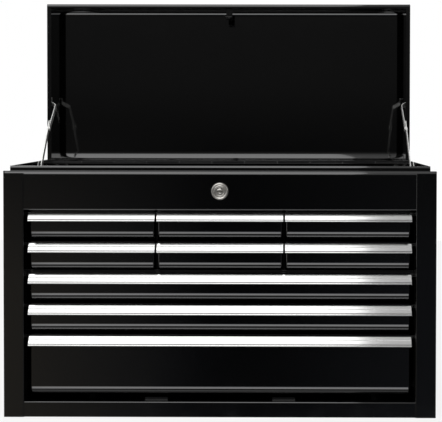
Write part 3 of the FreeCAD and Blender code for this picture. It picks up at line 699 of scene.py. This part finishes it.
def lidShell():
    piece = copyOf("lid_shell")
    low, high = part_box("lid_shell")
    # the bend beside the hinge is taller than it is deep
    for inset in (0, lidLook["sheet"]):
        corner = Vector((low.x, high.y, low.z)) + Vector((0, -inset, inset)) * millimetre
        stretchBend(piece, corner, (-1, 1), lidLook["rearBend"] - inset,
                    (1, lidLook["rearBendDepth"] / lidLook["rearBend"], 1), (low.x, high.x))
    behindRim = low.y + lidLook["rimDepth"] * millimetre
    for outer in (low.x, high.x):
        roundEdges(piece, lidLook["rimBend"], lambda a, b: along(a, b, x=outer, y=low.y))
        roundEdges(piece, lidLook["sideBend"],
                   lambda a, b: along(a, b, x=outer) and max(a.y, b.y) > behindRim)
    softenEdges(piece, lidLook["edge"])
    settle(piece, "lid_shell")


# Small steel pieces: hinge, stays, hook and handles

steelLook = {"edge": 0.2, "headEdge": 0.35, "headSteps": 3, "leafSetBack": 0.05}


def hardware():
    for node in ("lid_striker", "hinge_case_leaf", "hinge_lid_leaf", "hinge_pin", "left_stay_lower_link",
                 "right_stay_lower_link", "left_stay_upper_link", "right_stay_upper_link",
                 "left_handle_brackets", "right_handle_brackets", "left_handle_bail", "right_handle_bail"):
        piece = copyOf(node)
        if node == "hinge_case_leaf":
            # a hair's breadth behind the rear wall of the shut lid
            for vertex in piece.data.vertices:
                vertex.co.y += steelLook["leafSetBack"] * millimetre
        softenEdges(piece, steelLook["edge"])
        settle(piece, node)
    for node in ("hinge_case_rivets", "hinge_lid_rivets", "stay_foot_studs", "stay_top_studs"):
        piece = copyOf(node)
        softenEdges(piece, steelLook["headEdge"], steelLook["headSteps"])
        settle(piece, node)


sidePanels()
headerPanel()
bottomPanel()
plainSheets()
print("stage: case made")
drawerShells()
pulls()
mats()
print("stage: drawers made")
lock()
lidShell()
hardware()
print("stage: lock, lid and hardware made")


# Camera, as fitted to the photograph: pixels, metres and radians

photo = {"width": 442, "height": 422, "focalPixels": 933.56, "centreX": 266.84, "centreY": 139.8,
         "place": (0.0778, -1.5605, 0.4504), "yaw": 0.00444, "pitch": 0.01835, "roll": 0.0015}


def aimCamera():
    data = bpy.data.cameras.new("photoCamera")
    camera = bpy.data.objects.new("photoCamera", data)
    bpy.context.scene.collection.objects.link(camera)
    data.lens = photo["focalPixels"] * data.sensor_width / photo["width"]
    data.shift_x = (photo["width"] / 2 - photo["centreX"]) / photo["width"]
    data.shift_y = (photo["centreY"] - photo["height"] / 2) / photo["width"]
    turn = (Matrix.Rotation(photo["yaw"], 4, "Z") @ Matrix.Rotation(math.pi / 2 - photo["pitch"], 4, "X")
            @ Matrix.Rotation(photo["roll"], 4, "Z"))
    camera.matrix_world = Matrix.Translation(photo["place"]) @ turn
    bpy.context.scene.camera = camera


# Lights

lamps = {
    "topSoftbox": {"place": (-0.75, -1.15, 1.75), "aim": (-0.75, -0.28, 0.2), "size": (2.3, 2.5),
                   "radiance": 1.25},
    "leftStrip": {"place": (-1.6, -0.7, 0.6), "aim": (0, -0.1, 0.3), "size": (0.5, 1.4), "radiance": 1.2},
    "rightFill": {"place": (1.9, -0.5, 0.9), "aim": (0, 0, 0.3), "size": (0.7, 1.0), "radiance": 0.6},
    "backFill": {"place": (-0.4, 2.2, 1.5), "aim": (0, 0, 0.35), "size": (2.0, 1.2), "radiance": 1.0},
}


def placeLamps():
    for name, lamp in lamps.items():
        data = bpy.data.lights.new(name, "AREA")
        data.shape = "RECTANGLE"
        data.size, data.size_y = lamp["size"]
        data.energy = lamp["radiance"] * math.pi * data.size * data.size_y
        light = bpy.data.objects.new(name, data)
        light.visible_camera = False
        bpy.context.scene.collection.objects.link(light)
        turn = (Vector(lamp["aim"]) - Vector(lamp["place"])).to_track_quat("-Z", "Y").to_matrix().to_4x4()
        light.matrix_world = Matrix.Translation(lamp["place"]) @ turn


# Room that the black paint and the metals mirror, as stops of a place and a strength.
# Heights go from 0 straight down by 0.5 level to 1 straight up, sides from 0 left to 1 right,
# and depths from 0 in front of the chest to 1 behind it.

room = {
    "level": 1.6, "glow": 0.12, "plain": (1, 1, 1, 1), "warm": (1, 0.9, 0.74, 1), "cool": (0.8, 0.86, 1, 1),
    "floorWidth": ((0.34, 0.08), (0.385, 1), (0.59, 1), (0.64, 0.08)),
    "floorHeights": ((0.0, 0.6), (0.075, 0.6), (0.09, 0), (0.18, 0), (0.2, 1), (0.3, 1), (0.345, 0)),
    "frontHeights": ((0.3, 0.01), (0.47, 0.009), (0.49, 0.015), (0.52, 0.03), (0.55, 0.034), (0.59, 0.06),
                     (0.68, 0.22), (0.8, 0.28), (1.0, 0.3)),
    "sideHeights": ((0.0, 0.25), (0.3, 0.12), (0.45, 0.05), (0.6, 0.06), (0.75, 0.2), (1.0, 0.3)),
    "sideDepths": ((0.12, 0), (0.35, 1)),
    "wallHeights": ((0.42, 0), (0.46, 1), (0.54, 1), (0.6, 0)),
    "wallDepths": ((0.6, 0), (0.8, 1)),
    "leftGlow": ((0.36, 1), (0.42, 0.5), (0.47, 0)),
    "rightGlow": ((0.5, 0), (0.57, 0.25), (0.7, 0.4)),
    "glowHeights": ((0.3, 1), (0.42, 0.9), (0.47, 0.45), (0.5, 0)),
    "tintHeights": ((0.3, 0), (0.345, 1), (0.42, 0.9), (0.47, 0.45), (0.5, 0)),
}


def paintWorld():
    # white to the camera; mirrored, a dark room with a lit strip of floor in front and a pale wall behind
    world = bpy.data.worlds.new("studio")
    bpy.context.scene.world = world
    world.use_nodes = True
    sky = NodeMaker(world.node_tree)
    direction = sky.node("ShaderNodeTexCoord", output="Generated")
    side, depth, height = (sky.node("ShaderNodeSeparateXYZ", None, {0: direction}, axis) * 0.5 + 0.5
                           for axis in ("X", "Y", "Z"))
    beside = sky.ramp(depth, *room["sideDepths"])
    inFront = 1 - beside
    front = (sky.ramp(height, *room["floorHeights"]) * sky.ramp(side, *room["floorWidth"])
             + sky.ramp(height, *room["frontHeights"]))
    around = sky.ramp(height, *room["sideHeights"])
    wall = sky.ramp(depth, *room["wallDepths"]) * sky.ramp(height, *room["wallHeights"])
    leftGlow = sky.ramp(side, *room["leftGlow"])
    rightGlow = sky.ramp(side, *room["rightGlow"])
    glow = (leftGlow + rightGlow) * sky.ramp(height, *room["glowHeights"]) * inFront * room["glow"]
    level = (front * inFront + around * beside) * room["level"] + glow + wall
    tinted = sky.ramp(height, *room["tintHeights"]) * inFront
    tint = sky.blend(tinted, room["plain"], sky.blend(leftGlow, room["cool"], room["warm"]))
    seen = sky.node("ShaderNodeLightPath", output="Is Camera Ray")
    background = sky.tree.nodes["Background"]
    sky.feed(background.inputs["Color"], sky.blend(seen, tint, room["plain"]))
    sky.feed(background.inputs["Strength"], level * (1 - seen) + seen)


# Floor

ground = {"shade": (0.82, 0.82, 0.81, 1), "patch": (0.86, 0.86, 0.85, 1), "patchScale": 3, "roughness": 0.7,
          "front": -1.4, "back": 2.0, "halfWidth": 2.0, "whiteness": 0.85}


def layFloor():
    # mostly white to the camera, with the chest's shadow kept
    bpy.ops.object.select_all(action="DESELECT")
    bpy.ops.mesh.primitive_plane_add(size=2)  # so that its scale is half its length
    floor = bpy.context.active_object
    floor.name = "paleFloor"
    floor.scale = (ground["halfWidth"], (ground["back"] - ground["front"]) / 2, 1)
    floor.location = (0, (ground["back"] + ground["front"]) / 2, 0)
    floor.visible_glossy = False
    finish = Finish("paleFloor")
    mottle = finish.noise(ground["patchScale"], 4)
    finish.set(colour=finish.blend(mottle, ground["shade"], ground["patch"]), roughness=ground["roughness"])
    seen = finish.node("ShaderNodeLightPath", output="Is Camera Ray")
    white = finish.node("ShaderNodeEmission", None, {"Color": (1, 1, 1, 1), "Strength": 1.0})
    surface = Signal(finish, finish.shader.outputs[0])
    mixed = finish.node("ShaderNodeMixShader", None, {0: seen * ground["whiteness"], 1: surface, 2: white})
    finish.tree.links.new(mixed.output, finish.tree.nodes["Material Output"].inputs["Surface"])
    floor.data.materials.append(finish.material)


aimCamera()
placeLamps()
paintWorld()
layFloor()
bpy.context.scene.view_settings.view_transform = "Standard"
print("stage: studio ready")
